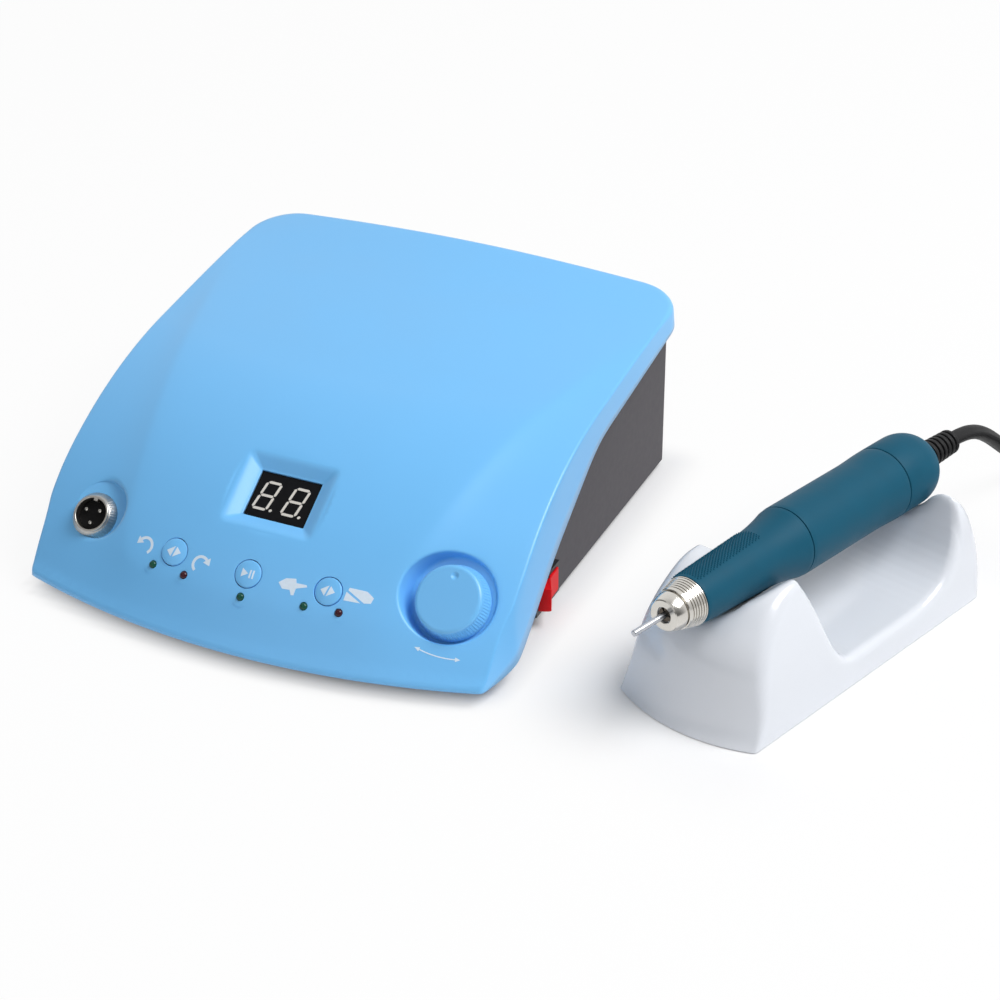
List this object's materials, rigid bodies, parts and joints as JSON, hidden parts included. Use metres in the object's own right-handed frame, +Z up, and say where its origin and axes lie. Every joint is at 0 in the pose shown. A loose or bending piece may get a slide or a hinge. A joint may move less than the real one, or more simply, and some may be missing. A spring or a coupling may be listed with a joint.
{
  "type": "dental micromotor",
  "caption": "Dental micromotor set: sloped control box with display, buttons and speed knob, and a corded handpiece lying in its cradle.",
  "frame": {"origin": "on the floor under the middle of the set of control box, cradle and handpiece, without the cord", "axes": "+Z up, +Y to the back of the control box, +X to its right"},
  "size_m": [0.4276, 0.3168, 0.0805],
  "materials": {
    "shell_blue": "fine satin moulding",
    "case_grey": "fine grained moulding",
    "foot_rubber": "matte",
    "screw_steel": "plain",
    "core_steel": "laminated",
    "copper": "enamelled wire",
    "board_green": "solder mask",
    "sink_metal": "extruded",
    "black_plastic": "moulded",
    "capacitor_sleeve": "shrink sleeve",
    "display_black": "dark window",
    "segment_white": "unlit segments",
    "lamp_green": "clear dome",
    "lamp_red": "clear dome",
    "knob_blue": "satin",
    "button_blue": "soft gloss",
    "nickel": "satin nickel",
    "pin_brass": "plated",
    "rocker_red": "gloss",
    "cradle_white": "gloss",
    "teal_metal": "satin anodised",
    "cord_black": "satin",
    "magnet_dark": "sintered",
    "steel": "turned",
    "carbon": "pressed carbon"
  },
  "bodies": {
    "control_box": {"top_shell": "shell_blue", "base_case": "case_grey", "rubber_feet": "foot_rubber", "case_screws": "screw_steel", "transformer_core": "core_steel", "transformer_winding": "copper", "transformer_strap": "steel", "strap_screws": "screw_steel", "power_board": "board_green", "board_screws": "screw_steel", "heat_sink": "sink_metal", "power_transistors": "black_plastic", "filter_capacitors": "capacitor_sleeve", "panel_board": "board_green", "display_board": "board_green", "display_body": "display_black", "display_segments": "segment_white", "tact_switches": "black_plastic", "green_lamps": "lamp_green", "red_lamps": "lamp_red", "potentiometer_body": "steel", "potentiometer_nut": "screw_steel", "socket_shell": "nickel", "socket_insert": "black_plastic", "socket_pins": "nickel", "socket_nut": "screw_steel", "switch_body": "case_grey", "mains_inlet": "black_plastic", "inlet_pins": "pin_brass", "inlet_screws": "screw_steel", "fuse_holder": "black_plastic", "foot_jack": "black_plastic", "foot_jack_nut": "screw_steel", "cradle_shell": "cradle_white", "cradle_feet": "foot_rubber", "cord_lead": "cord_black", "cord_coil": "cord_black", "cord_tie": "black_plastic", "plug_body": "nickel"},
    "speed_knob": {"speed_knob": "knob_blue", "knob_shaft": "steel"},
    "direction_button": {"direction_button": "button_blue"},
    "start_button": {"start_button": "button_blue"},
    "control_button": {"control_button": "button_blue"},
    "power_rocker": {"power_rocker": "rocker_red"},
    "handpiece": {"motor_case": "teal_metal", "rear_cap": "teal_metal", "cord_boot": "cord_black", "magnet_ring": "magnet_dark", "brush_plate": "black_plastic", "carbon_brushes": "carbon", "bearings": "steel", "front_housing": "steel", "nose_collar": "nickel"},
    "chuck_sleeve": {"grip_sleeve": "teal_metal"},
    "release": {"release_ring": "steel"},
    "rotating_shaft": {"spindle": "steel", "rotor": "copper", "collet": "steel"},
    "plug_ring": {"plug_ring": "nickel"}
  },
  "joints": [
    {"name": "speed_turn", "type": "hinge", "parent": "control_box", "child": "speed_knob", "pos_m": [0.00705, -0.076, 0.03313], "axis": [0, -0.7114, 0.7028], "range_deg": [-140, 140]},
    {"name": "direction_press", "type": "slide", "parent": "control_box", "child": "direction_button", "axis": [0, 0.7114, -0.7028], "range_m": [0, 0.0005], "stiffness_N_per_m": 600},
    {"name": "start_press", "type": "slide", "parent": "control_box", "child": "start_button", "axis": [0, 0.7114, -0.7028], "range_m": [0, 0.0005], "stiffness_N_per_m": 600},
    {"name": "control_press", "type": "slide", "parent": "control_box", "child": "control_button", "axis": [0, 0.7114, -0.7028], "range_m": [0, 0.0005], "stiffness_N_per_m": 600},
    {"name": "power_rock", "type": "hinge", "parent": "control_box", "child": "power_rocker", "pos_m": [0.02275, -0.02545, 0.0124], "axis": [0, 0, 1], "range_deg": [-28, 0]},
    {"name": "handpiece_lift", "type": "slide", "parent": "control_box", "child": "handpiece", "axis": [0, 0, 1], "range_m": [0, 0.07]},
    {"name": "chuck_twist", "type": "hinge", "parent": "handpiece", "child": "chuck_sleeve", "pos_m": [0.10262, -0.04312, 0.0512], "axis": [0.287, 0.9566, -0.0501], "range_deg": [0, 60]},
    {"name": "release_slide", "type": "slide", "parent": "handpiece", "child": "release", "axis": [0.287, 0.9566, -0.0501], "range_m": [0, 0.001]},
    {"name": "spindle_spin", "type": "hinge", "parent": "handpiece", "child": "rotating_shaft", "pos_m": [0.10262, -0.04312, 0.0512], "axis": [0.287, 0.9566, -0.0501], "continuous": true},
    {"name": "plug_ring_spin", "type": "hinge", "parent": "control_box", "child": "plug_ring", "pos_m": [0.24533, 0.11948, 0.0094], "axis": [0.2874, 0.9578, 0], "continuous": true}
  ],
  "couplings": [
    {"joint": "release_slide", "follows": "chuck_twist", "m_per_rad": 0.00095}
  ]
}
